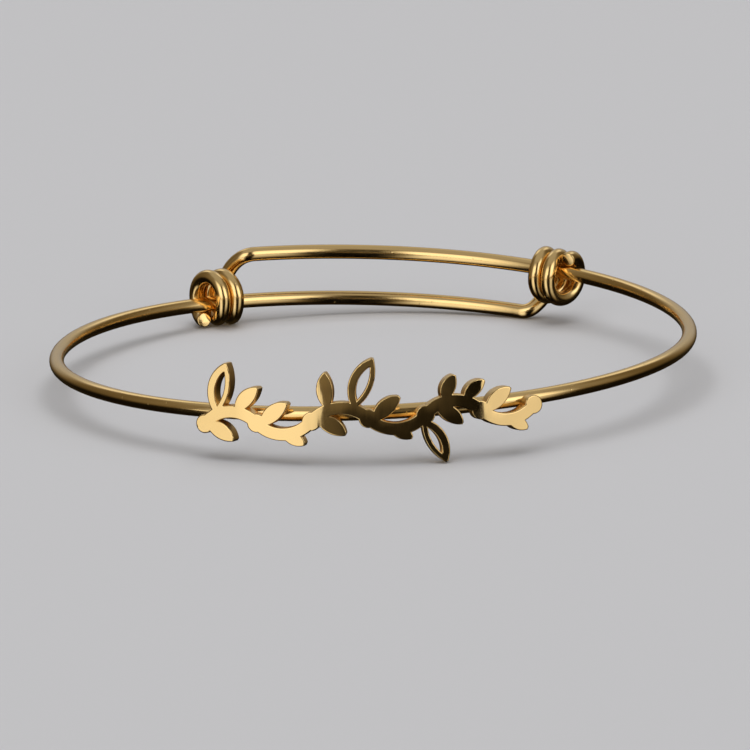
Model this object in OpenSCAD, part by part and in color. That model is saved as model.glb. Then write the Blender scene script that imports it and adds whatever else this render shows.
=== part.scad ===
/* [Wire] */
// Diameter of the round wire
wire_d = 1.5; // [1.2:0.05:1.8]
// Radius of the hoop, to the middle of the wire
hoop_r = 32.2; // [29:0.1:36]
// Turn of the front arc's climb, between the two strands' levels, away from
// the middle of the front, in degrees
climb_turn = 17; // [-25:1:25]

/* [Sliding closure] */
// Height from the lower rail's middle to the upper rail's
rail_gap = 4.95; // [4.6:0.05:6]
// Turn of the closure away from straight opposite the nameplate, in degrees
closure_turn = 2.2; // [-8:0.1:8]
// Arc from the closure's middle to the middle of each coil, in degrees
coil_arc = 32.6; // [30:0.1:40]
// Arc from the closure's middle to the place where each rail bends, in degrees
bend_arc = 25.8; // [18:0.1:27]
// Length of rail that the sharp bend at its end takes up to its corner
bend_reach = 0.8; // [0.7:0.1:1.5]
// Inner diameter of each coil
coil_bore = 2.94; // [2.8:0.02:3.6]
// Gap between neighbouring turns of a coil
turn_gap = 0.08; // [0.05:0.01:0.3]
// Gap under the strand that slides through a coil
slide_gap = 0.08; // [0.05:0.01:0.3]
// Turn of the last part of each coil, up to the cut end, in degrees
tail_turn = 105; // [30:1:120]

/* [Nameplate] */
// Thickness of the plate
plate_t = 1.4; // [0.8:0.1:2]
// Depth that the solder joins the plate into the wire
solder_bite = 0.2; // [0.1:0.05:0.35]
// Lean of the plate's top towards the hoop, in degrees
plate_lean = 6; // [0:0.5:10]
// Slope of the plate along the wire, up to the right, in degrees
plate_slope = 1.1; // [-2:0.1:3]
// Length of one half wave of the stem
wave_len = 5.6; // [5.2:0.05:6.2]
// Height of the stem's wave above and below its middle
wave_rise = 1.2; // [0.9:0.05:1.5]
// Depth of the stem's middle line below the wire's
stem_drop = 0.4; // [0.2:0.05:0.8]
// Width of the stem
stem_w = 1.3; // [1:0.05:1.5]
// Diameter of the bead at each crossing of the stem's middle line
bead_d = 1.9; // [1.7:0.05:2.1]
// Length of a low leaf
leaf_len = 3.6; // [2.8:0.1:4]
// Width of a low leaf
leaf_w = 1.6; // [1.4:0.05:1.8]
// Part of a leaf's width that lies left of the line between its tips
leaf_skew = 0.6; // [0.4:0.05:0.7]
// Length taken off each leaf's sharp tip
leaf_blunt = 0.12; // [0.05:0.01:0.3]
// Width of the metal left round the opening in a pierced leaf
leaf_wall = 0.72; // [0.5:0.02:0.8]
// Depth of the hanging leaf's tip below the wire
hang_drop = 5.25; // [4.8:0.05:5.8]
// Width of the hanging leaf
hang_w = 2.1; // [1.9:0.05:2.4]

/* [Hidden] */
$fn = 64;
gold = [0.83, 0.62, 0.25];

// The hoop's middle is the origin here, +Y is the closure's side, and the
// two rails lie level, half of rail_gap below and above the origin.
half_gap = rail_gap / 2;
wire_r = wire_d / 2;
coil_r = coil_bore / 2 + wire_r;
// A coil hangs from its strand, so its middle lies off the strand's
coil_lift = coil_r - wire_d - slide_gap;
// Neighbouring turns lean, so the pitch is a little more than their distance
turn_w = wire_d + turn_gap;
coil_pitch = coil_r * sqrt(8 * (1 - sqrt(1 - pow(turn_w / coil_r / 2, 2))));
coil_side = sqrt(pow(coil_r, 2) - pow(coil_pitch / 4, 2));

// A ball a hair wider than the wire closes each joint of two arcs, and the
// arcs stop just short of the ball's middle.
joint_ball_d = wire_d * 1.013;
joint_inset = wire_d / 50;

UP = [0, 0, 1];
function unit(v) = v / norm(v);
function axes(x, y, z, at) =
    [for (i = [0:2]) [x[i], y[i], z[i], at[i]], [0, 0, 0, 1]];
function shift(v) = axes([1, 0, 0], [0, 1, 0], UP, v);
function turn_x(a) = axes([1, 0, 0], [0, cos(a), sin(a)], [0, -sin(a), cos(a)], [0, 0, 0]);
function turn_y(a) = axes([cos(a), 0, -sin(a)], [0, 1, 0], [sin(a), 0, cos(a)], [0, 0, 0]);
function turn_z(a) = axes([cos(a), sin(a), 0], [-sin(a), cos(a), 0], UP, [0, 0, 0]);
function moved(m, p) = [for (i = [0:2]) (m * [p[0], p[1], p[2], 1])[i]];

// Places on the hoop, by the angle from +Y towards +X
function out_at(a) = [sin(a), cos(a), 0];
function leftward_at(a) = [-cos(a), sin(a), 0];
function hoop_at(a, z) = hoop_r * out_at(a) + z * UP;

// An arc of wire is its centre, the direction to its start, the direction
// that it starts in, its radius and its angle.
function arc_from(start, along, centre, angle) =
    [centre, unit(start - centre), along, norm(start - centre), angle];
function arc_point(arc, angle) =
    arc[0] + arc[3] * (cos(angle) * arc[1] + sin(angle) * arc[2]);

// A bend round the corner between two legs that each reach as far from it
function bend(corner, into, away, reach) =
    let (half = acos(into * away) / 2, radius = reach / tan(half),
         start = corner - reach * into,
         side = unit(away - (into * away) * into))
    arc_from(start, into, start + radius * side, 2 * half);

// Two bends that join two places and directions smoothly, the first one's
// reach given and the second one's whatever meets it
function double_bend(start, into, reach, end, away) =
    let (corner = start + reach * into,
         v = end - corner,
         last = (v * v - reach * reach) / (2 * (v * away + reach)),
         next = end - last * away,
         mid = unit(next - corner))
    [bend(corner, into, mid, reach), bend(next, mid, away, last)];

// The left coil: the upper rail's end comes down behind the lower strand and
// winds round it, away from the closure's middle. Even half turns pass under
// the strand from the outside in, and odd ones over it from the inside out.
coil_angle = -coil_arc;
coil_along = leftward_at(coil_angle);
coil_out = out_at(coil_angle);
coil_middle = hoop_at(coil_angle, coil_lift - half_gap);
coil_start = coil_middle - coil_pitch * coil_along + coil_side * coil_out;
function half_turn(i, angle = 180) =
    let (side = i % 2 == 0 ? 1 : -1,
         start = coil_start + i / 2 * coil_pitch * coil_along
             + (side - 1) * coil_side * coil_out,
         centre = start + coil_pitch / 4 * coil_along - side * coil_side * coil_out)
    arc_from(start, -side * UP, centre, angle);
coil_arcs = concat(
    double_bend(hoop_at(-bend_arc, half_gap), leftward_at(-bend_arc), bend_reach,
        coil_start, -UP),
    [for (i = [0:3]) half_turn(i)],
    [half_turn(4, tail_turn)]);

module wire_arc(arc) {
    inset = joint_inset / arc[3] * 180 / PI;
    multmatrix(axes(arc[1], arc[2], cross(arc[1], arc[2]), arc[0]))
        rotate([0, 0, inset])
            rotate_extrude(angle = arc[4] - 2 * inset)
                translate([arc[3], 0])
                    circle(d = wire_d);
}

module joint_ball(at) {
    translate(at)
        sphere(d = joint_ball_d);
}

module jog_and_coil() {
    for (arc = coil_arcs) {
        wire_arc(arc);
        joint_ball(arc_point(arc, 0));
    }
}

// The closure is the same from either side: half a turn about the line from
// the hoop's middle through the closure's middle swaps its two ends.
module closure() {
    multmatrix(turn_z(-closure_turn)) {
        jog_and_coil();
        rotate([0, 180, 0])
            jog_and_coil();
    }
}

// A level strand, from one end of the front arc to the bend of its rail
module strand(side) {
    start = [side * hoop_r, 0, side * half_gap];
    wire_arc(arc_from(start, [0, 1, 0], [0, 0, side * half_gap],
        90 + bend_arc + side * (climb_turn - closure_turn)));
    joint_ball(start);
}

// The front arc is a half circle that climbs from the left strand's level to
// the right one's
module front_arc() {
    wire_arc(arc_from([-hoop_r, 0, -half_gap], [0, -1, 0], [0, 0, 0], 180));
}

module hoop() {
    multmatrix(turn_z(-climb_turn)) {
        front_arc();
        strand(-1);
        strand(1);
    }
    closure();
}

// The plate's own frame: the front arc's plane, with -Y at the front of the
// hoop, leaning and sloping
front_r = norm([hoop_r, half_gap]);
climb_x = [hoop_r, 0, half_gap] / front_r;
front_plane = turn_z(-climb_turn)
    * axes(climb_x, [0, 1, 0], cross(climb_x, [0, 1, 0]), [0, 0, 0])
    * turn_z(climb_turn);
plate_back_r = front_r + wire_r - solder_bite;
plate_front_r = plate_back_r + plate_t;
plate_mid_r = (plate_back_r + plate_front_r) / 2;
plate_place = front_plane * shift([0, -front_r, 0]) * turn_x(-plate_lean)
    * turn_y(-plate_slope) * shift([0, front_r, 0]);
// The plate is cut from a ring that is tall enough for its longest leaves
plate_h = 6 * leaf_len;
cut_over = plate_t / 2;

// The stem is a wave of equal arcs, turned up and down by turns
waves = 6;
wave_r = (pow(wave_len / 2, 2) + pow(wave_rise, 2)) / (2 * wave_rise);
wave_half = asin(wave_len / 2 / wave_r);
wave_turn = 2 * asin(wave_len / 2 / plate_mid_r);
function stem_place(k, place) =
    let (a = place * wave_half, up = 1 - 2 * (k % 2))
    [wave_r * sin(a), up * (wave_rise - wave_r + wave_r * cos(a)) - stem_drop];

module stem_arc() {
    reach = 2 * wave_r;
    translate([0, wave_rise - wave_r])
        intersection() {
            difference() {
                circle(r = wave_r + stem_w / 2);
                circle(r = wave_r - stem_w / 2);
            }
            polygon([[0, 0], reach * [-sin(wave_half), cos(wave_half)],
                reach * [sin(wave_half), cos(wave_half)]]);
        }
}

module stem_bead() {
    translate([0, -stem_drop])
        circle(d = bead_d);
}

// A leaf lies along +X from its root, its edges two arcs through both tips
module leaf_edge(length, bulge) {
    r = (pow(length / 2, 2) + pow(bulge, 2)) / (2 * bulge);
    translate([length / 2, bulge - r])
        circle(r = r);
}

module leaf_form(length, width) {
    intersection() {
        leaf_edge(length, leaf_skew * width);
        mirror([0, 1])
            leaf_edge(length, (1 - leaf_skew) * width);
    }
}

module leaf(length, width, pierced) {
    inner = 1 - 2 * leaf_wall / width;
    difference() {
        leaf_form(length, width);
        translate([length - leaf_blunt, -width])
            square([2 * leaf_blunt, 2 * width]);
        if (pierced)
            translate([length * (1 - sqrt(inner)) / 2, 0])
                leaf_form(length * sqrt(inner), width * inner);
    }
}

// The leaves, from left to right along the stem. Columns: half wave, place on
// it from -1 to 1, direction in degrees, length as a share of leaf_len, width
// as a share of leaf_w, whether it is pierced
leaves = [
    [0, -0.5, 74, 1.52, 1.5, true],
    [0, 0.2, 42, 1.0, 1.0, false],
    [0, -0.95, -32, 1.0, 1.05, false],
    [1, -0.85, 36, 1.05, 1.05, false],
    [1, -0.1, -26, 0.75, 0.85, false],
    [2, -0.35, 92, 1.08, 1.05, false],
    [2, 0.45, 66, 1.55, 1.5, true],
    [2, -0.85, -32, 1.0, 1.05, false],
    [3, -0.85, 38, 1.05, 1.05, false],
    [3, -0.3, -26, 0.75, 0.85, false],
    [4, -0.3, 64, 0.85, 0.95, false],
    [4, 0.35, 40, 0.85, 0.9, false],
    [4, -0.6, -36, 0.95, 1.0, false],
    [5, -0.85, 38, 1.05, 1.05, false],
    [5, -0.1, -26, 0.75, 0.85, false],
];

// The hanging leaf, whose tip is the part of the plate that reaches lowest
hang_wave = 3;
hang_root = stem_place(hang_wave, 0.85);
hang_direction = -64;
hang_len = (hang_drop + hang_root[1]) / -sin(hang_direction);

module half_wave(k) {
    translate([0, -stem_drop])
        mirror([0, k % 2])
            stem_arc();
    for (row = leaves)
        if (row[0] == k)
            translate(stem_place(k, row[1]))
                rotate(row[2])
                    leaf(leaf_len * row[3], leaf_w * row[4], row[5]);
    if (k == hang_wave)
        translate(hang_root)
            rotate(hang_direction)
                leaf(hang_len + leaf_blunt, hang_w, true);
}

// A flat outline, cut through the plate towards the hoop's middle at an angle
// from straight in front
module cut_through(turn) {
    rotate([0, 0, turn])
        translate([0, cut_over - plate_back_r, 0])
            rotate([90, 0, 0])
                linear_extrude(plate_t + 2 * cut_over)
                    children();
}

module ornament() {
    for (k = [0:waves - 1])
        cut_through((k - (waves - 1) / 2) * wave_turn)
            half_wave(k);
    for (k = [0:waves])
        cut_through((k - waves / 2) * wave_turn)
            stem_bead();
}

module nameplate() {
    multmatrix(plate_place)
        intersection() {
            ornament();
            difference() {
                cylinder(r = plate_front_r, h = plate_h, center = true);
                cylinder(r = plate_back_r, h = plate_h + cut_over, center = true);
            }
        }
}

// The bracelet lies on three points: the left coil, the bend of the lower rail
// and the tip of the hanging leaf. The first two are on the wire's middle line,
// and the tip is raised by the wire's radius to match them.
closure_place = turn_z(-closure_turn);
coil_foot = moved(closure_place, arc_point(coil_arcs[2], 90));
bend_start = arc_point(coil_arcs[0], 0);
bend_foot = moved(closure_place, [-bend_start[0], bend_start[1], -bend_start[2]]);
hang_tip = hang_root + hang_len * [cos(hang_direction), sin(hang_direction)];
hang_depth = sqrt(pow(plate_back_r, 2) - pow(hang_tip[0], 2));
hang_foot = wire_r * UP + moved(
    plate_place * turn_z((hang_wave - (waves - 1) / 2) * wave_turn),
    [hang_tip[0], -hang_depth, hang_tip[1]]);
rest_up = unit(cross(hang_foot - coil_foot, bend_foot - coil_foot));
rest_x = unit([1, 0, 0] - rest_up[0] * rest_up);
rest_y = cross(rest_up, rest_x);
rest_height = wire_r - rest_up * coil_foot;
rest = [concat(rest_x, 0), concat(rest_y, 0), concat(rest_up, rest_height), [0, 0, 0, 1]];

module bracelet() {
    color(gold)
        multmatrix(rest) {
            hoop();
            nameplate();
        }
}

bracelet();
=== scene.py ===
"""A gold wire bangle with a sliding closure and a pierced leaf nameplate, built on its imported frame."""

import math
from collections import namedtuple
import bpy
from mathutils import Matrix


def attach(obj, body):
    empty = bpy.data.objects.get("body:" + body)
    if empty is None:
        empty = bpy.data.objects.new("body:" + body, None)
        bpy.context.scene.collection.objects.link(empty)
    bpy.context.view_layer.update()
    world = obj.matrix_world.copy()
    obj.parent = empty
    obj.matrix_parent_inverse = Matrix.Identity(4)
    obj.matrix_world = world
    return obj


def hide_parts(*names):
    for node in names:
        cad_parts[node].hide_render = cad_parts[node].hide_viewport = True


bl_info = {
    "name": "Nameplate Bracelet",
    "version": (1, 0, 0),
    "blender": (4, 5, 0),
    "location": "3D View > Sidebar > Bracelet",
    "description": "Builds a gold bangle of sprung wire, its leaf nameplate and a small studio for it",
    "category": "Add Mesh",
}

from types import SimpleNamespace

import bpy
from bpy.props import FloatProperty, FloatVectorProperty, PointerProperty
from mathutils import Matrix, Vector

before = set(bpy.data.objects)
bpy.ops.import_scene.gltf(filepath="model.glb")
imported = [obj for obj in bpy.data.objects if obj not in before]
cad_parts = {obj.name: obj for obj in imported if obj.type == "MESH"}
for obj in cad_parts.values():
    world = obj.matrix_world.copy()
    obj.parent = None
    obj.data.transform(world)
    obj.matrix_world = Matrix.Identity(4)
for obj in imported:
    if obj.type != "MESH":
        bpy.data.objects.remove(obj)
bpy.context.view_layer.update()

# Pieces are modelled in millimetres, well clear of Blender's tolerances, and then scaled to metres
MM = 1000
UP = Vector((0, 0, 1))


def length(name, description, default):
    """A length in metres that the user can change"""
    return FloatProperty(name=name, description=description, default=default, precision=5,
                         unit="LENGTH")


def angle(name, description, degrees):
    """An angle that the user can change"""
    return FloatProperty(name=name, description=description, default=math.radians(degrees),
                         subtype="ANGLE")


def share(name, description, default, high=1.0):
    """A plain number that the user can change"""
    return FloatProperty(name=name, description=description, default=default, min=0, max=high)


def colour(name, description, default):
    """A colour that the user can change"""
    return FloatVectorProperty(name=name, description=description, default=default,
                               subtype="COLOR", min=0, max=1)


class WireSettings(bpy.types.PropertyGroup):
    """Sizes of the hoop's wire and of its sliding closure"""

    wire_d: length("Wire diameter", "Diameter of the round wire", 0.0015)
    hoop_r: length("Hoop radius", "Radius of the hoop, to the middle of the wire", 0.0322)
    climb_turn: angle("Climb's turn", "Turn of the front arc's climb away from the front", 17)
    rail_gap: length("Rail gap", "Height from the lower rail's middle to the upper's", 0.00495)
    closure_turn: angle("Closure's turn", "Turn of the closure away from straight behind", 2.2)
    coil_arc: angle("Coil's arc", "Arc from the closure's middle to each coil's", 32.6)
    bend_arc: angle("Bend's arc", "Arc from the closure's middle to each rail's bend", 25.8)
    bend_reach: length("Bend's reach", "Rail that the bend takes up to its corner", 0.0008)
    coil_bore: length("Coil bore", "Inner diameter of each coil", 0.00294)
    turn_gap: length("Turn gap", "Gap between neighbouring turns of a coil", 0.00008)
    slide_gap: length("Slide gap", "Gap under the strand that slides in a coil", 0.00008)
    tail_turn: angle("Tail's turn", "Turn of a coil's last part, up to the cut end", 105)
    cut_round: length("Cut end's edge", "Rounding of the cut ends' edges", 0.00014)


class PlateSettings(bpy.types.PropertyGroup):
    """Sizes of the nameplate and of the leaves that it is cut into"""

    plate_t: length("Thickness", "Thickness of the plate", 0.0014)
    solder_bite: length("Solder bite", "Depth that the solder joins into the wire", 0.0002)
    plate_lean: angle("Lean", "Lean of the plate's top towards the hoop", 6)
    plate_slope: angle("Slope", "Slope of the plate along the wire", 1.1)
    wave_len: length("Wave length", "Length of one half wave of the stem", 0.0056)
    wave_rise: length("Wave rise", "Height of the wave above and below its middle", 0.0012)
    stem_drop: length("Stem drop", "Depth of the stem's middle line below the wire's", 0.0004)
    stem_w: length("Stem width", "Width of the stem", 0.0013)
    bead_d: length("Bead", "Diameter of the bead at each crossing", 0.0019)
    leaf_len: length("Leaf length", "Length of a low leaf", 0.0036)
    leaf_w: length("Leaf width", "Width of a low leaf", 0.0016)
    leaf_skew: share("Leaf skew", "Part of a leaf's width left of its middle line", 0.6)
    leaf_blunt: length("Leaf blunting", "Length taken off a leaf's sharp tip", 0.00012)
    leaf_wall: length("Leaf wall", "Metal left round a pierced leaf's opening", 0.00072)
    hang_drop: length("Hanging depth", "Depth of the hanging leaf's tip below the wire", 0.00525)
    hang_w: length("Hanging width", "Width of the hanging leaf", 0.0021)
    edge_round: length("Edge rounding", "Rounding of the plate's polished edges", 0.00013)


class FinishSettings(bpy.types.PropertyGroup):
    """Colours and polish of the gold plating"""

    gold: colour("Gold", "Colour of the plating", (1.0, 0.70, 0.31))
    gold_warm: colour("Warm gold", "Colour where the plating is a little thicker", (0.96, 0.66, 0.27))
    wire_rough: share("Wire roughness", "Roughness of the drawn and polished wire", 0.15)
    plate_rough: share("Plate roughness", "Roughness of the mirror-polished plate", 0.06)
    wall_rough: share("Cut edge roughness", "Roughness of the plate's laser-cut edges", 0.34)
    wire_lines: share("Drawing lines", "Strength of the fine lines along the wire", 0.10)
    wire_nicks: share("Nicks", "Depth of the few tiny nicks in the wire", 0.4)
    plate_waves: share("Plate's waves", "Strength of the polished plate's slight waves", 0.45)
    cut_lines: share("Cutting lines", "Strength of the fine lines across the cut edges", 0.5)


class StudioSettings(bpy.types.PropertyGroup):
    """The camera's place, the floor and the lights"""

    azimuth: angle("Azimuth", "Turn of the camera towards the right", 1.1)
    elevation: angle("Elevation", "Height of the camera above the horizon", 13.51)
    roll: angle("Roll", "Turn of the camera about its own axis", -1.315)
    distance: length("Distance", "Distance of the camera", 1.2)
    aim: FloatVectorProperty(name="Aim", description="Point that the camera looks at",
                             default=(0.000134, 0, 0.001012), unit="LENGTH", precision=6)
    picture_width: length("Picture width", "Width that the picture covers at the aim", 0.07653)
    floor: colour("Floor", "Colour of the plain floor", (0.62, 0.62, 0.64))
    box_light: share("Soft boxes", "Brightness of the two soft boxes", 1.35, 4)
    left_mirrored_light: share("Mirrored left box", "Its brightness below the horizon", 1.0, 4)
    right_mirrored_light: share("Mirrored right box", "Its brightness below the horizon", 0.7, 4)
    rear_light: share("Rear light", "Brightness of the wall behind the bracelet", 0.48, 4)
    ceiling_light: share("Ceiling", "Brightness of the ceiling", 0.36, 4)
    shade_tint: colour("Shade", "Tint of the room's dim parts", (1.0, 0.78, 0.44))
    card_tint: colour("Card", "Tint of the dark card", (1.0, 0.86, 0.62))
    floor_light: share("Floor light", "Brightness of the wide light over the floor", 13.0, 40)


def in_millimetres(settings):
    """A group's sizes under their names, lengths in millimetres and angles in radians"""
    values = {}
    for name in settings.__annotations__:
        is_length = settings.bl_rna.properties[name].unit == "LENGTH"
        values[name] = getattr(settings, name) * (MM if is_length else 1)
    return SimpleNamespace(**values)


# The route of the wire. The hoop's middle is the origin here, +Y is the closure's side, and the
# two rails lie level, half of rail_gap below and above the origin.

# An arc of wire: its centre, the arm from there to its start, the direction that it starts in and
# its angle
Arc = namedtuple("Arc", "centre arm along angle")

# Half turns in each coil, before its tail
HALF_TURNS = 4


def arc_from(start, along, centre, angle):
    """The arc that starts at a place and in a direction, round a centre"""
    return Arc(centre, start - centre, along, angle)


def arc_point(arc, angle):
    """The place that an arc has come to after an angle"""
    return arc.centre + math.cos(angle) * arc.arm + math.sin(angle) * arc.arm.length * arc.along


def backwards(arc):
    """The same arc, followed from its other end"""
    end = arc_point(arc, arc.angle)
    heading = math.cos(arc.angle) * arc.along - math.sin(arc.angle) * arc.arm.normalized()
    return Arc(arc.centre, end - arc.centre, -heading, arc.angle)


def placed(matrix, arc):
    """The same arc, moved and turned by a matrix"""
    turn = matrix.to_3x3()
    return Arc(matrix @ arc.centre, turn @ arc.arm, turn @ arc.along, arc.angle)


def out_at(turn):
    """The direction outwards, at a turn away from the closure's side"""
    return Vector((math.sin(turn), math.cos(turn), 0))


def leftward_at(turn):
    """The direction round the hoop towards the left coil, at the same turn"""
    return Vector((-math.cos(turn), math.sin(turn), 0))


def bend(corner, into, away, reach):
    """A bend round the corner between two legs that each reach as far from it"""
    half = math.acos(into.dot(away)) / 2
    start = corner - reach * into
    side = (away - into.dot(away) * into).normalized()
    return arc_from(start, into, start + reach / math.tan(half) * side, 2 * half)


def double_bend(start, into, reach, end, away):
    """Two bends that join two places and directions. The first has a set reach."""
    corner = start + reach * into
    v = end - corner
    # The second's reach, so that the leg between the two corners is as long as both reaches together
    last = (v.dot(v) - reach ** 2) / (2 * (v.dot(away) + reach))
    following = end - last * away
    middle = (following - corner).normalized()
    return [bend(corner, into, middle, reach), bend(following, middle, away, last)]


def coil_arcs(w):
    """The left coil: the upper rail's end comes down behind the lower strand and winds round it"""
    wire_r = w.wire_d / 2
    coil_r = w.coil_bore / 2 + wire_r
    lift = coil_r - w.wire_d - w.slide_gap
    # Neighbouring turns lie turn_w apart, measured square to the tilted wire
    turn_w = w.wire_d + w.turn_gap
    pitch = coil_r * math.sqrt(8 * (1 - math.sqrt(1 - (turn_w / coil_r / 2) ** 2)))
    side_r = math.sqrt(coil_r ** 2 - (pitch / 4) ** 2)
    along = leftward_at(-w.coil_arc)
    out = out_at(-w.coil_arc)
    middle = w.hoop_r * out + (lift - w.rail_gap / 2) * UP
    coil_start = middle - pitch * along + side_r * out

    def half_turn(i, angle=math.pi):
        side = 1 if i % 2 == 0 else -1
        start = coil_start + i / 2 * pitch * along + (side - 1) * side_r * out
        centre = start + pitch / 4 * along - side * side_r * out
        return arc_from(start, -side * UP, centre, angle)

    rail_end = w.hoop_r * out_at(-w.bend_arc) + w.rail_gap / 2 * UP
    bends = double_bend(rail_end, leftward_at(-w.bend_arc), w.bend_reach, coil_start, -UP)
    return bends + [half_turn(i) for i in range(HALF_TURNS)] + [half_turn(HALF_TURNS, w.tail_turn)]


def strand_arc(w, side):
    """A level strand, from one end of the front arc to the bend of its rail"""
    height = side * w.rail_gap / 2
    swept = math.pi / 2 + w.bend_arc + side * (w.climb_turn - w.closure_turn)
    return arc_from(Vector((side * w.hoop_r, 0, height)), Vector((0, 1, 0)),
                    Vector((0, 0, height)), swept)


def wire_route(w):
    """The wire's arcs in order, from the left coil's cut end to the right coil's"""
    coil = coil_arcs(w)
    closure = Matrix.Rotation(-w.closure_turn, 4, "Z")
    other_side = closure @ Matrix.Rotation(math.pi, 4, "Y")
    climb = Matrix.Rotation(-w.climb_turn, 4, "Z")
    front = arc_from(Vector((-w.hoop_r, 0, -w.rail_gap / 2)), Vector((0, -1, 0)), Vector(), math.pi)
    route = [placed(closure, backwards(arc)) for arc in reversed(coil)]
    route += [placed(climb, backwards(strand_arc(w, 1))), placed(climb, backwards(front)),
              placed(climb, strand_arc(w, -1))]
    route += [placed(other_side, arc) for arc in coil]
    return route


# The nameplate, drawn flat: X runs along the wire, Z up, and the plate's front faces -Y.

# The stem has this many half waves. The hanging leaf grows from one of them, counted from 0, at a
# place from -1 to 1 on it, and in a direction in degrees.
WAVES = 6
HANG_WAVE = 3
HANG_PLACE = 0.85
HANG_DIRECTION = -64

# The leaves, from left to right along the stem
Leaf = namedtuple("Leaf", "wave place direction length width pierced")
LEAVES = [
    # half wave, place on it from -1 to 1, degrees, share of leaf_len, share of leaf_w, pierced
    Leaf(0, -0.5, 74, 1.52, 1.5, True),
    Leaf(0, 0.2, 42, 1.0, 1.0, False),
    Leaf(0, -0.95, -32, 1.0, 1.05, False),
    Leaf(1, -0.85, 36, 1.05, 1.05, False),
    Leaf(1, -0.1, -26, 0.75, 0.85, False),
    Leaf(2, -0.35, 92, 1.08, 1.05, False),
    Leaf(2, 0.45, 66, 1.55, 1.5, True),
    Leaf(2, -0.85, -32, 1.0, 1.05, False),
    Leaf(3, -0.85, 38, 1.05, 1.05, False),
    Leaf(3, -0.3, -26, 0.75, 0.85, False),
    Leaf(4, -0.3, 64, 0.85, 0.95, False),
    Leaf(4, 0.35, 40, 0.85, 0.9, False),
    Leaf(4, -0.6, -36, 0.95, 1.0, False),
    Leaf(5, -0.85, 38, 1.05, 1.05, False),
    Leaf(5, -0.1, -26, 0.75, 0.85, False),
]


def plate_radii(w, p):
    """Radii of the front arc's middle line and of the plate's back, middle and front"""
    front_r = math.hypot(w.hoop_r, w.rail_gap / 2)
    back = front_r + w.wire_d / 2 - p.solder_bite
    return SimpleNamespace(arc=front_r, back=back, middle=back + p.plate_t / 2, front=back + p.plate_t)


def wave_of(p):
    """Radius and half angle of the stem's arcs"""
    radius = ((p.wave_len / 2) ** 2 + p.wave_rise ** 2) / (2 * p.wave_rise)
    return SimpleNamespace(r=radius, half=math.asin(p.wave_len / 2 / radius))


def stem_place(p, k, place):
    """A place on half wave k's middle line, from the half wave's own middle"""
    wave = wave_of(p)
    turn = place * wave.half
    up = 1 if k % 2 == 0 else -1
    return Vector((wave.r * math.sin(turn), 0,
                   up * (p.wave_rise - wave.r + wave.r * math.cos(turn)) - p.stem_drop))


def wave_turn(w, p):
    """Turn round the hoop that one half wave takes"""
    return 2 * math.asin(p.wave_len / 2 / plate_radii(w, p).middle)


def wave_middle(w, p, k):
    """Place of half wave k's middle along the flat plate"""
    return (k - (WAVES - 1) / 2) * wave_turn(w, p) * plate_radii(w, p).middle


def hang_length(p):
    """Length of the hanging leaf, from its root on the stem down to the set depth"""
    root = stem_place(p, HANG_WAVE, HANG_PLACE)
    return (p.hang_drop + root.z) / -math.sin(math.radians(HANG_DIRECTION))


def plate_place(w, p):
    """Matrix from the front arc's own plane, with -Y at the front, to the hoop's frame"""
    r = plate_radii(w, p).arc
    climb_x = Vector((w.hoop_r, 0, w.rail_gap / 2)) / r
    along = Vector((0, 1, 0))
    plane = Matrix((climb_x, along, climb_x.cross(along))).transposed().to_4x4()
    climb = Matrix.Rotation(-w.climb_turn, 4, "Z")
    lean = Matrix.Rotation(-p.plate_lean, 4, "X") @ Matrix.Rotation(-p.plate_slope, 4, "Y")
    to_front = Matrix.Translation((0, -r, 0))
    return climb @ plane @ climb.inverted() @ to_front @ lean @ to_front.inverted()


def rest_pose(w, p):
    """Matrix that lays the bracelet down on its left coil, its lower rail's bend and its hanging leaf"""
    wire_r = w.wire_d / 2
    closure = Matrix.Rotation(-w.closure_turn, 4, "Z")
    first_bend, _, first_half_turn = coil_arcs(w)[:3]
    coil_foot = closure @ arc_point(first_half_turn, math.pi / 2)
    bend_foot = closure @ Matrix.Rotation(math.pi, 4, "Y") @ arc_point(first_bend, 0)
    down = math.radians(HANG_DIRECTION)
    root = stem_place(p, HANG_WAVE, HANG_PLACE)
    tip = root + hang_length(p) * Vector((math.cos(down), 0, math.sin(down)))
    depth = math.sqrt(plate_radii(w, p).back ** 2 - tip.x ** 2)
    turned = Matrix.Rotation((HANG_WAVE - (WAVES - 1) / 2) * wave_turn(w, p), 4, "Z")
    # The other feet are on the wire's middle line, so the tip is taken a wire's radius higher too
    hang_foot = plate_place(w, p) @ turned @ Vector((tip.x, -depth, tip.z)) + wire_r * UP
    up = (hang_foot - coil_foot).cross(bend_foot - coil_foot).normalized()
    x = (Vector((1, 0, 0)) - up.x * up).normalized()
    rest = Matrix((x, up.cross(x), up)).to_4x4()
    rest.translation = (0, 0, wire_r - up.dot(coil_foot))
    return rest


# Modelling by hand

# Steps across a rounded edge
ROUND_STEPS = 3


def start_piece(name):
    """Names the primitive that was just added, and opens it in edit mode with all of it selected"""
    piece = bpy.context.object
    piece.name = name
    piece.data.name = name
    bpy.ops.object.transform_apply(location=True, rotation=True, scale=True)
    bpy.ops.object.mode_set(mode="EDIT")
    bpy.ops.mesh.select_mode(type="VERT")
    bpy.ops.mesh.select_all(action="SELECT")
    return piece


def sweep(centre, axis, swept, steps):
    """Sweeps what is selected round an axis. The operator turns the other way for a positive angle."""
    bpy.ops.mesh.spin(steps=steps, angle=-swept, center=centre, axis=axis)


def close_piece():
    """Turns all faces outwards and leaves edit mode"""
    bpy.ops.mesh.select_all(action="SELECT")
    bpy.ops.mesh.normals_make_consistent(inside=False)
    bpy.ops.object.mode_set(mode="OBJECT")


def only(piece):
    """Leaves this object alone selected and active"""
    bpy.ops.object.select_all(action="DESELECT")
    piece.select_set(True)
    bpy.context.view_layer.objects.active = piece


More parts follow.
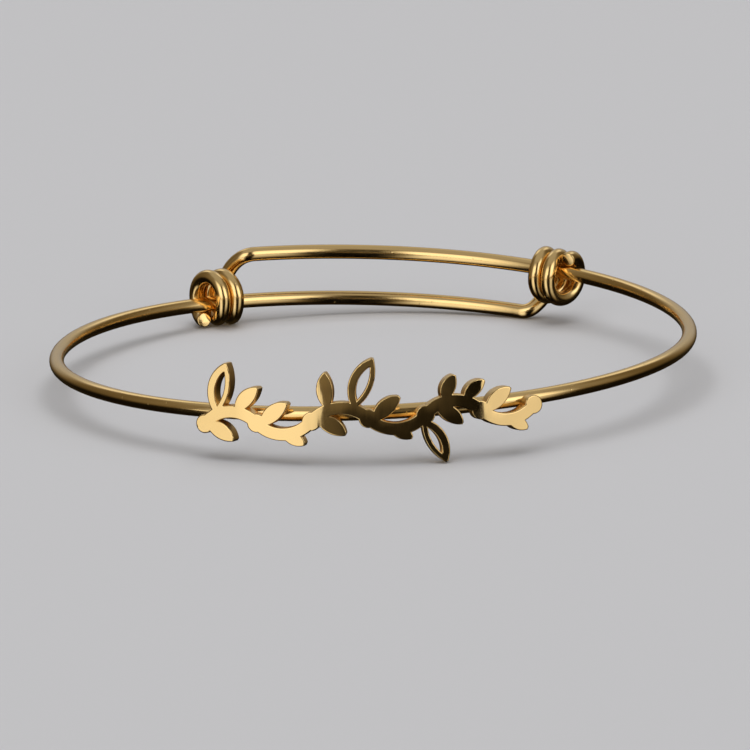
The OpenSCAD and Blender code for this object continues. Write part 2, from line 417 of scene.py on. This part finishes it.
def apply_modifier(piece, kind, **values):
    """Adds a modifier with these values, and applies it"""
    only(piece)
    modifier = piece.modifiers.new(kind.title(), kind)
    for key, value in values.items():
        setattr(modifier, key, value)
    bpy.ops.object.modifier_apply(modifier=modifier.name)


def select_edges(piece, wanted):
    """In edit mode, selects the edges for which wanted(normals of its faces) is true"""
    bpy.ops.mesh.select_mode(type="EDGE")
    bpy.ops.object.mode_set(mode="OBJECT")
    mesh = piece.data
    sides = {}
    for face in mesh.polygons:
        for key in face.edge_keys:
            sides.setdefault(key, []).append(face.normal)
    mesh.polygons.foreach_set("select", [False] * len(mesh.polygons))
    mesh.vertices.foreach_set("select", [False] * len(mesh.vertices))
    mesh.edges.foreach_set("select", [False] * len(mesh.edges))
    for edge in mesh.edges:
        if wanted(sides.get(edge.key, [])):
            edge.select = True
    bpy.ops.object.mode_set(mode="EDIT")


def settle_piece(piece, place, material):
    """Scales a piece to metres in its place, and hands it to the frame"""
    only(piece)
    piece.matrix_world = Matrix.Scale(1 / MM, 4) @ place
    bpy.ops.object.transform_apply(location=True, rotation=True, scale=True)
    piece.data.materials.clear()
    piece.data.materials.append(material)
    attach(piece, "root")
    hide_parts("bracelet")


# Finishes

class Nodes:
    """Shorthand for building a node tree"""

    def __init__(self, tree):
        self.tree = tree
        tree.nodes.clear()

    def add(self, kind, inputs=None, **values):
        """Adds a node with these values, its inputs linked to sockets or set to numbers"""
        node = self.tree.nodes.new(kind)
        for key, value in values.items():
            setattr(node, key, value)
        for key, value in (inputs or {}).items():
            if isinstance(value, bpy.types.NodeSocket):
                self.tree.links.new(value, node.inputs[key])
            else:
                node.inputs[key].default_value = value
        return node

    def place(self, kind="Object"):
        """Coordinates on the object, or of another kind"""
        return self.add("ShaderNodeTexCoord").outputs[kind]

    def number(self, operation, first, second=0):
        return self.add("ShaderNodeMath", {0: first, 1: second}, operation=operation).outputs[0]

    def plus(self, first, second):
        return self.number("ADD", first, second)

    def times(self, first, second):
        return self.number("MULTIPLY", first, second)

    def vector(self, operation, inputs, output="Vector"):
        return self.add("ShaderNodeVectorMath", inputs, operation=operation).outputs[output]

    def noise(self, place, scale, detail):
        return self.add("ShaderNodeTexNoise", {"Vector": place, "Scale": scale,
                                               "Detail": detail}).outputs["Fac"]

    def bump(self, height, strength, distance, under=None):
        """The normal that a relief gives, on the plain surface or over another normal"""
        inputs = {"Height": height, "Strength": strength, "Distance": distance}
        if under is not None:
            inputs["Normal"] = under
        return self.add("ShaderNodeBump", inputs).outputs[0]

    def fade(self, value, start, end, low, high):
        """Fades from low to high as the value goes from start to end"""
        return self.add("ShaderNodeMapRange", {
            "Value": value, "From Min": start, "From Max": end, "To Min": low, "To Max": high},
            interpolation_type="SMOOTHSTEP").outputs[0]

    def mix(self, factor, first, second, kind="FLOAT"):
        """Mixes two numbers or two colours"""
        node = self.tree.nodes.new("ShaderNodeMix")
        node.data_type = kind
        pins = [pin for pin in node.inputs if pin.enabled]
        for pin, value in zip(pins, (factor, first, second)):
            if isinstance(value, bpy.types.NodeSocket):
                self.tree.links.new(value, pin)
            else:
                pin.default_value = value
        return next(pin for pin in node.outputs if pin.enabled)

    def metal(self, colour, rough, normal):
        """Ends the tree in a metal surface"""
        shader = self.add("ShaderNodeBsdfPrincipled", {
            "Base Color": colour, "Metallic": 1, "Roughness": rough, "Normal": normal})
        self.add("ShaderNodeOutputMaterial", {"Surface": shader.outputs[0]})


def hoop_noise(n, place, along, outward, upward, detail):
    """Noise with this many grains to a radian round the hoop, and to a metre outwards and upwards"""
    flat = n.vector("MULTIPLY", {0: place, 1: (1, 1, 0)})
    radius = n.vector("LENGTH", {0: flat}, "Value")
    height = n.add("ShaderNodeSeparateXYZ", {0: place}).outputs["Z"]
    around = n.vector("SCALE", {0: n.vector("NORMALIZE", {0: flat}), "Scale": along})
    out = n.vector("SCALE", {0: (0, 0, 1), "Scale": n.times(radius, outward)})
    noise = n.add("ShaderNodeTexNoise", {
        "Vector": n.vector("ADD", {0: around, 1: out}), "W": n.times(height, upward),
        "Scale": 1, "Detail": detail}, noise_dimensions="4D")
    return noise.outputs["Fac"]


def gold_base(n, place, finish):
    """The plating's colour, with a slight change of tone"""
    tone = n.noise(place, scale=140, detail=2)
    return n.mix(tone, (*finish.gold, 1), (*finish.gold_warm, 1), "RGBA")


def new_material(name):
    """A new material and its empty node tree"""
    material = bpy.data.materials.new(name)
    material.use_nodes = True
    return material, Nodes(material.node_tree)


def wire_finish(finish):
    """Drawn and polished gold wire: fine lines run along it, and its polish changes a little"""
    material, n = new_material("gold_wire")
    place = n.place()
    lines = hoop_noise(n, place, along=9, outward=9000, upward=9000, detail=2)
    wear = n.plus(n.noise(place, scale=420, detail=3), lines)
    rough = n.fade(wear, 0.6, 1.5, 0.75 * finish.wire_rough, 1.5 * finish.wire_rough)
    lined = n.bump(lines, finish.wire_lines, distance=0.00002)
    # Only the rare peaks of the noise become nicks
    nicks = n.fade(n.noise(place, scale=1900, detail=1), 0.74, 0.79, 0, -1)
    nicked = n.bump(nicks, finish.wire_nicks, distance=0.00004, under=lined)
    n.metal(gold_base(n, place, finish), rough, nicked)
    return material


def plate_finish(finish):
    """Mirror-polished gold sheet with slight waves and rougher, finely lined laser-cut edges"""
    material, n = new_material("gold_plate")
    place = n.place()
    # The cut edges are where the surface doesn't face in or out
    outward = n.vector("NORMALIZE", {0: n.vector("MULTIPLY", {0: place, 1: (1, 1, 0)})})
    normal = n.add("ShaderNodeNewGeometry").outputs["Normal"]
    facing = n.number("ABSOLUTE", n.vector("DOT_PRODUCT", {0: outward, 1: normal}, "Value"))
    cut = n.fade(facing, 0.25, 0.6, 1, 0)
    polish = n.fade(n.noise(place, scale=600, detail=4), 0.35, 0.75,
                    0.7 * finish.plate_rough, 1.7 * finish.plate_rough)
    rough = n.mix(cut, polish, finish.wall_rough)
    waves = hoop_noise(n, place, along=11, outward=0, upward=240, detail=1)
    waved = n.bump(waves, finish.plate_waves, distance=0.0002)
    lines = hoop_noise(n, place, along=300, outward=300, upward=9000, detail=2)
    lined = n.bump(lines, n.times(cut, finish.cut_lines), distance=0.00004, under=waved)
    n.metal(gold_base(n, place, finish), rough, lined)
    return material


# Pieces

class BRACELET_OT_wire(bpy.types.Operator):
    """Bends the hoop, its two rails and its two coils from one round wire"""

    bl_idname = "bracelet.wire"
    bl_label = "Bend the Wire"

    # Points round the wire, its step in millimetres along the hoop, and its turn to a step elsewhere
    sides = 40
    hoop_step = 0.55
    coil_turn = math.radians(6)
    # Points closer than this, in millimetres, are one. Only a cut end's edge turns as sharply as
    # sharp_turn, and edges that turn less than smooth_turn are shaded smooth.
    weld = 0.001
    sharp_turn = math.radians(60)
    smooth_turn = math.radians(40)

    def execute(self, context):
        scene = context.scene
        w = in_millimetres(scene.bracelet_wire)
        p = in_millimetres(scene.bracelet_plate)
        route = wire_route(w)
        first = route[0]
        facing = first.along.to_track_quat("Z", "Y").to_euler()
        bpy.ops.object.select_all(action="DESELECT")
        bpy.ops.mesh.primitive_circle_add(vertices=self.sides, radius=w.wire_d / 2,
                                          location=first.centre + first.arm, rotation=facing)
        wire = start_piece("bangle_wire")
        for arc in route:
            on_hoop = arc.arm.length > w.hoop_r / 2
            step_turn = self.hoop_step / arc.arm.length if on_hoop else self.coil_turn
            axis = arc.arm.cross(arc.along).normalized()
            sweep(arc.centre, axis, arc.angle, math.ceil(arc.angle / step_turn))
        bpy.ops.mesh.select_all(action="SELECT")
        bpy.ops.mesh.remove_doubles(threshold=self.weld)
        bpy.ops.mesh.fill_holes(sides=0)
        bpy.ops.mesh.select_all(action="SELECT")
        bpy.ops.mesh.normals_make_consistent(inside=False)
        sharp = math.cos(self.sharp_turn)
        select_edges(wire, lambda faces: len(faces) == 2 and faces[0].dot(faces[1]) < sharp)
        bpy.ops.mesh.bevel(offset=w.cut_round, segments=ROUND_STEPS, affect="EDGES")
        close_piece()
        bpy.ops.object.shade_smooth_by_angle(angle=self.smooth_turn)
        settle_piece(wire, rest_pose(w, p), wire_finish(scene.bracelet_finish))
        return {"FINISHED"}


class BRACELET_OT_nameplate(bpy.types.Operator):
    """Cuts the nameplate flat, rounds its edges and curves it to the hoop"""

    bl_idname = "bracelet.nameplate"
    bl_label = "Cut the Nameplate"

    # The largest turn of a step along an arc, and the width in millimetres of the strips that the
    # plate is cut into before it is bent
    arc_turn = math.radians(6)
    strip = 0.25
    # Points closer than this, in millimetres, are one: in each part, and in the joined plate
    weld = 0.004
    shortest_edge = 0.045
    # Faces that turn less than same_plane are one, and edges less than smooth_turn are shaded smooth
    same_plane = math.radians(1)
    smooth_turn = math.radians(35)

    def execute(self, context):
        scene = context.scene
        w = in_millimetres(scene.bracelet_wire)
        p = in_millimetres(scene.bracelet_plate)
        plate = self.spray(w, p)
        self.round_edges(plate, p)
        self.curve(plate, w, p)
        place = rest_pose(w, p) @ plate_place(w, p)
        back_to_front = Matrix.Translation((0, -plate_radii(w, p).middle, 0))
        settle_piece(plate, place @ back_to_front, plate_finish(scene.bracelet_finish))
        return {"FINISHED"}

    def flat_solid(self, name, start, path, depth):
        """A flat solid whose outline runs from start along arcs, each a centre and a clockwise angle,
        and along lines, each an end point, and is then drawn out backwards by the depth"""
        bpy.ops.object.select_all(action="DESELECT")
        bpy.ops.mesh.primitive_plane_add(size=1, location=start)
        solid = start_piece(name)
        bpy.ops.mesh.merge(type="CENTER")
        here = start
        for step in path:
            if isinstance(step, tuple):
                centre, swept = step
                turn = Matrix.Rotation(swept, 3, "Y")
                sweep(centre, (0, 1, 0), swept, max(2, math.ceil(abs(swept) / self.arc_turn)))
                here = centre + turn @ (here - centre)
            else:
                bpy.ops.mesh.extrude_region_move(TRANSFORM_OT_translate={"value": step - here})
                here = step
        bpy.ops.mesh.select_all(action="SELECT")
        bpy.ops.mesh.remove_doubles(threshold=self.weld)
        bpy.ops.mesh.edge_face_add()
        bpy.ops.mesh.extrude_region_move(TRANSFORM_OT_translate={"value": (0, depth, 0)})
        close_piece()
        return solid

    def leaf_solid(self, p, root, degrees, length, width, blunt, depth):
        """A leaf between two arcs, blunted at its tip by a short straight edge"""
        turn = Matrix.Rotation(-math.radians(degrees), 3, "Y")

        def at(x, z):
            return root + turn @ Vector((x, 0, z))

        def edge(bulge):
            """Radius and angle of the arc that bulges this far, and its height at the blunted tip"""
            radius = ((length / 2) ** 2 + bulge ** 2) / (2 * bulge)
            to_tip = math.asin((length / 2 - blunt) / radius)
            rise = radius * math.cos(to_tip) - (radius - bulge)
            return radius, to_tip + math.asin(length / 2 / radius), rise

        left, right = p.leaf_skew * width, (1 - p.leaf_skew) * width
        left_r, left_angle, _ = edge(left)
        right_r, right_angle, right_rise = edge(right)
        path = [(at(length / 2, left - left_r), left_angle),
                at(length - blunt, -right_rise),
                (at(length / 2, right_r - right), right_angle)]
        return self.flat_solid("leaf", root, path, depth)

    def leaf(self, p, root, degrees, length, width, pierced):
        """A leaf, with a smaller one cut out of its middle if it is pierced"""
        solid = self.leaf_solid(p, root, degrees, length, width, p.leaf_blunt, p.plate_t)
        if pierced:
            inner = 1 - 2 * p.leaf_wall / width
            inner_length = length * math.sqrt(inner)
            turn = Matrix.Rotation(-math.radians(degrees), 3, "Y")
            inner_root = root + turn @ Vector(((length - inner_length) / 2, 0, 0))
            in_front = Vector((0, p.plate_t / 2, 0))
            opening = self.leaf_solid(p, inner_root - in_front, degrees, inner_length,
                                      width * inner, p.leaf_blunt / 2, 2 * p.plate_t)
            self.combine(solid, opening, "DIFFERENCE")
        return solid

    def stem(self, p, k, middle):
        """Half a wave of the stem, a flat bar swept along its arc"""
        wave = wave_of(p)
        up = 1 if k % 2 == 0 else -1
        centre = Vector((middle, 0, up * (p.wave_rise - wave.r) - p.stem_drop))

        def at(radius, turn):
            return centre + radius * Vector((math.sin(turn), 0, up * math.cos(turn)))

        outer, inner = wave.r + p.stem_w / 2, wave.r - p.stem_w / 2
        path = [(centre, up * 2 * wave.half), at(inner, wave.half), (centre, -up * 2 * wave.half)]
        return self.flat_solid("stem", at(outer, -wave.half), path, p.plate_t)

    def bead(self, p, middle):
        """The round bead where two half waves meet"""
        centre = Vector((middle, 0, -p.stem_drop))
        edge = centre + Vector((0, 0, p.bead_d / 2))
        return self.flat_solid("bead", edge, [(centre, 2 * math.pi)], p.plate_t)

    def combine(self, solid, other, operation):
        """Joins another solid to this one, or cuts it out"""
        apply_modifier(solid, "BOOLEAN", object=other, operation=operation, solver="MANIFOLD")
        bpy.data.objects.remove(other)

    def spray(self, w, p):
        """The stem with its beads and leaves, as one flat plate"""
        half = wave_turn(w, p) * plate_radii(w, p).middle / 2
        plate = self.bead(p, wave_middle(w, p, 0) - half)
        plate.name = plate.data.name = "nameplate"
        for k in range(WAVES):
            middle = wave_middle(w, p, k)
            along = Vector((middle, 0, 0))
            parts = [self.stem(p, k, middle), self.bead(p, middle + half)]
            for row in LEAVES:
                if row.wave == k:
                    parts.append(self.leaf(p, along + stem_place(p, k, row.place), row.direction,
                                           p.leaf_len * row.length, p.leaf_w * row.width,
                                           row.pierced))
            if k == HANG_WAVE:
                parts.append(self.leaf(p, along + stem_place(p, k, HANG_PLACE), HANG_DIRECTION,
                                       hang_length(p) + p.leaf_blunt, p.hang_w, True))
            for part in parts:
                self.combine(plate, part, "UNION")
        return plate

    def round_edges(self, plate, p):
        """Tidies the cut plate and rounds the edges of its two faces"""
        only(plate)
        bpy.ops.object.mode_set(mode="EDIT")
        bpy.ops.mesh.select_all(action="SELECT")
        bpy.ops.transform.translate(value=(0, -p.plate_t / 2, 0))
        bpy.ops.mesh.dissolve_limited(angle_limit=self.same_plane)
        bpy.ops.mesh.remove_doubles(threshold=self.shortest_edge)
        bpy.ops.mesh.dissolve_limited(angle_limit=self.same_plane)
        # The edges between a flat face, whose normal runs along Y, and a cut side
        select_edges(plate, lambda faces: abs(faces[0].y - faces[1].y) > 0.5)
        bpy.ops.mesh.bevel(offset=p.edge_round, segments=ROUND_STEPS, affect="EDGES",
                           clamp_overlap=False)
        close_piece()

    def curve(self, plate, w, p):
        """Cuts the flat plate into narrow strips and bends it to the hoop"""
        only(plate)
        xs = [v.co.x for v in plate.data.vertices]
        first, last = min(xs), max(xs)
        bpy.ops.object.mode_set(mode="EDIT")
        for i in range(1, int((last - first) / self.strip)):
            bpy.ops.mesh.select_all(action="SELECT")
            bpy.ops.mesh.bisect(plane_co=(first + i * self.strip, 0, 0), plane_no=(1, 0, 0))
        close_piece()
        apply_modifier(plate, "SIMPLE_DEFORM", deform_method="BEND", deform_axis="Z",
                       angle=(last - first) / plate_radii(w, p).middle)
        bpy.ops.object.shade_smooth_by_angle(angle=self.smooth_turn)
        apply_modifier(plate, "WEIGHTED_NORMAL", keep_sharp=True)


# The studio

class BRACELET_OT_studio(bpy.types.Operator):
    """Sets up the floor, the room, the lights and the camera"""

    bl_idname = "bracelet.studio"
    bl_label = "Set up the Studio"

    # The room, in degrees: azimuth from the camera towards the right, turn to either side of the
    # camera, and elevation. An edge is an angle and its softness, and a fade is an edge with a value
    # before it and one after it. The front wall's light is faded in by turn, the steps are added to
    # it, and the wall's height and the horizon are factors.
    front_wall = (45, 25, 0.02, 0.17)
    side_steps = [(98, 14, 0, -0.05), (146, 20, 0, 0.30)]
    right_steps = [(72, 14, 0, 0.05), (108, 12, 0, -0.06)]
    wall_height = (22, 20, 0.85, 1.14)
    ceiling_edge = (52, 12)
    horizon = (-4, 13, 0.05, 1)
    # A window of light has a left, a right, a low and a high edge. The mirrored ones are images of
    # the two soft boxes below the horizon. The rear one is placed by turn, so it is on both sides.
    left_box = ((-52, 18), (-7, 6), (4, 3), (46, 12))
    right_box = ((25, 9), (69, 12), (4, 3), (46, 12))
    left_mirrored = ((-54, 13), (-15, 9), (-50, 26), (4, 3))
    right_mirrored = ((31, 9), (67, 12), (-38, 28), (4, 3))
    rear_window = ((142, 6), (164, 8), (27, 6), (50, 8))
    # Light up to the first of these has the shade's full tint, and from the second on it has none
    tinted_light = (0.05, 0.36)

    # In metres: the floor's side, the floor light's side and height, and how far the cards stand in
    # front of the middle
    floor_size = 8
    lamp_size = 1.6
    lamp_height = 1.5
    card_distance = 0.083
    # A card's left and right edge and height in metres, its glow at the left edge, a quarter along
    # and at the right edge, and the glow that its top adds
    dark_card = (-0.020, 0.052, 0.07, (0.09, 0.018, 0.008), 0.08)
    pale_card = (-0.140, -0.066, 0.02, (0.95, 0.95, 0.95), 0)

    def execute(self, context):
        settings = context.scene.bracelet_studio
        self.floor(settings)
        self.room(context.scene, settings)
        self.floor_light(context.scene, settings)
        self.card("dark_card", settings.card_tint, *self.dark_card)
        self.card("pale_card", (1, 1, 1), *self.pale_card)
        self.camera(context.scene, settings)
        return {"FINISHED"}

    def floor(self, settings):
        """A plain pale floor"""
        bpy.ops.object.select_all(action="DESELECT")
        bpy.ops.mesh.primitive_plane_add(size=self.floor_size)
        floor = bpy.context.object
        floor.name = "floor"
        material, n = new_material("floor")
        pale = n.add("ShaderNodeBsdfDiffuse", {"Color": (*settings.floor, 1)})
        n.add("ShaderNodeOutputMaterial", {"Surface": pale.outputs[0]})
        floor.data.materials.append(material)
        # Below the horizon the metal mirrors the dark half of the room and not the floor
        floor.visible_glossy = False

    def room(self, scene, settings):
        """A dim room with a pale ceiling and two tall soft boxes in front of the bracelet"""
        world = bpy.data.worlds.new("room")
        world.use_nodes = True
        n = Nodes(world.node_tree)
        x, y, z = n.add("ShaderNodeSeparateXYZ", {0: n.place("Generated")}).outputs
        azimuth = n.number("ARCTAN2", x, n.times(y, -1))
        turn = n.number("ABSOLUTE", azimuth)
        elevation = n.number("ARCSINE", z)

        def fade(value, at, soft, low, high):
            """Fades from low to high round an angle, in degrees"""
            return n.fade(value, math.radians(at - soft), math.radians(at + soft), low, high)

        def window(across, brightness, left, right, low, high):
            """A window of light with four soft edges"""
            light = fade(across, *left, 0, brightness)
            for value, edge, start, end in ((across, right, 1, 0), (elevation, low, 0, 1),
                                            (elevation, high, 1, 0)):
                light = n.times(light, fade(value, *edge, start, end))
            return light

        light = fade(turn, *self.front_wall)
        for step in self.side_steps:
            light = n.plus(light, fade(turn, *step))
        for step in self.right_steps:
            light = n.plus(light, fade(azimuth, *step))
        light = n.times(light, fade(elevation, *self.wall_height))
        ceiling = fade(elevation, *self.ceiling_edge, 0, 1)
        light = n.plus(n.times(light, n.number("SUBTRACT", 1, ceiling)),
                       n.times(ceiling, settings.ceiling_light))
        light = n.plus(light, window(turn, settings.rear_light, *self.rear_window))
        light = n.times(light, fade(elevation, *self.horizon))
        for brightness, edges in ((settings.box_light, self.left_box),
                                  (settings.box_light, self.right_box),
                                  (settings.left_mirrored_light, self.left_mirrored),
                                  (settings.right_mirrored_light, self.right_mirrored)):
            light = n.plus(light, window(azimuth, brightness, *edges))
        tint = n.mix(n.fade(light, *self.tinted_light, 0, 1),
                     (*settings.shade_tint, 1), (1, 1, 1, 1), "RGBA")
        background = n.add("ShaderNodeBackground", {"Color": tint, "Strength": light})
        n.add("ShaderNodeOutputWorld", {"Surface": background.outputs[0]})
        scene.world = world

    def floor_light(self, scene, settings):
        """A wide light from above for the floor alone, which the metal doesn't mirror"""
        data = bpy.data.lights.new("floor_light", "AREA")
        data.size = self.lamp_size
        data.energy = settings.floor_light
        lamp = bpy.data.objects.new("floor_light", data)
        lamp.location = (0, 0, self.lamp_height)
        lamp.visible_glossy = False
        scene.collection.objects.link(lamp)

    def card(self, name, tint, left, right, height, glow, top_glow):
        """A card close in front of the nameplate, which only the metal's mirror finish shows"""
        bpy.ops.object.select_all(action="DESELECT")
        bpy.ops.mesh.primitive_plane_add(
            size=1, location=((left + right) / 2, -self.card_distance, 0),
            rotation=(math.pi / 2, 0, 0))
        card = bpy.context.object
        card.name = name
        card.scale = (right - left, height, 1)
        material, n = new_material(name)
        # Places on the card run from -0.5 to 0.5, across and up it
        across, up, _ = n.add("ShaderNodeSeparateXYZ", {0: n.place()}).outputs
        light = n.plus(n.fade(across, -0.5, -0.25, glow[0], glow[1]),
                       n.fade(across, -0.25, 0.5, 0, glow[2] - glow[1]))
        top = n.times(n.fade(up, 0.07, 0.14, 0, top_glow), n.fade(across, 0, 0.4, 1, 0))
        shine = n.add("ShaderNodeEmission", {"Color": (*tint, 1), "Strength": n.plus(light, top)})
        n.add("ShaderNodeOutputMaterial", {"Surface": shine.outputs[0]})
        card.data.materials.append(material)
        for kind in ("camera", "diffuse", "shadow", "transmission"):
            setattr(card, "visible_" + kind, False)

    def camera(self, scene, settings):
        """The camera, turned, tilted and rolled round the point that it looks at"""
        data = bpy.data.cameras.new("camera")
        data.sensor_width = 36
        data.lens = data.sensor_width * settings.distance / settings.picture_width
        data.clip_end = 20
        camera = bpy.data.objects.new("camera", data)
        turn = Matrix.Rotation(settings.azimuth, 4, "Z")
        tilt = Matrix.Rotation(math.pi / 2 - settings.elevation, 4, "X")
        roll = Matrix.Rotation(settings.roll, 4, "Z")
        away = Matrix.Translation((0, 0, settings.distance))
        camera.matrix_world = Matrix.Translation(settings.aim) @ turn @ tilt @ roll @ away
        scene.collection.objects.link(camera)
        scene.camera = camera
        scene.view_settings.view_transform = "Standard"


class BRACELET_PT_panel(bpy.types.Panel):
    """Lists the bracelet's pieces and their sizes"""

    bl_label = "Nameplate Bracelet"
    bl_idname = "BRACELET_PT_panel"
    bl_space_type = "VIEW_3D"
    bl_region_type = "UI"
    bl_category = "Bracelet"

    # Title, group of settings and operator
    parts = [
        ("Wire", "bracelet_wire", "bracelet.wire"),
        ("Nameplate", "bracelet_plate", "bracelet.nameplate"),
        ("Gold", "bracelet_finish", None),
        ("Studio", "bracelet_studio", "bracelet.studio"),
    ]

    def draw(self, context):
        for title, group, operator in self.parts:
            box = self.layout.box()
            box.label(text=title)
            settings = getattr(context.scene, group)
            for name in settings.__annotations__:
                box.prop(settings, name)
            if operator:
                box.operator(operator)


GROUPS = {
    "bracelet_wire": WireSettings,
    "bracelet_plate": PlateSettings,
    "bracelet_finish": FinishSettings,
    "bracelet_studio": StudioSettings,
}
CLASSES = [*GROUPS.values(), BRACELET_OT_studio, BRACELET_OT_wire, BRACELET_OT_nameplate,
           BRACELET_PT_panel]


def register():
    for cls in CLASSES:
        bpy.utils.register_class(cls)
    for name, group in GROUPS.items():
        setattr(bpy.types.Scene, name, PointerProperty(type=group))


def unregister():
    for name in GROUPS:
        delattr(bpy.types.Scene, name)
    for cls in reversed(CLASSES):
        bpy.utils.unregister_class(cls)


def main():
    register()
    bpy.ops.bracelet.studio()
    bpy.ops.bracelet.wire()
    bpy.ops.bracelet.nameplate()


if __name__ == "__main__":
    main()
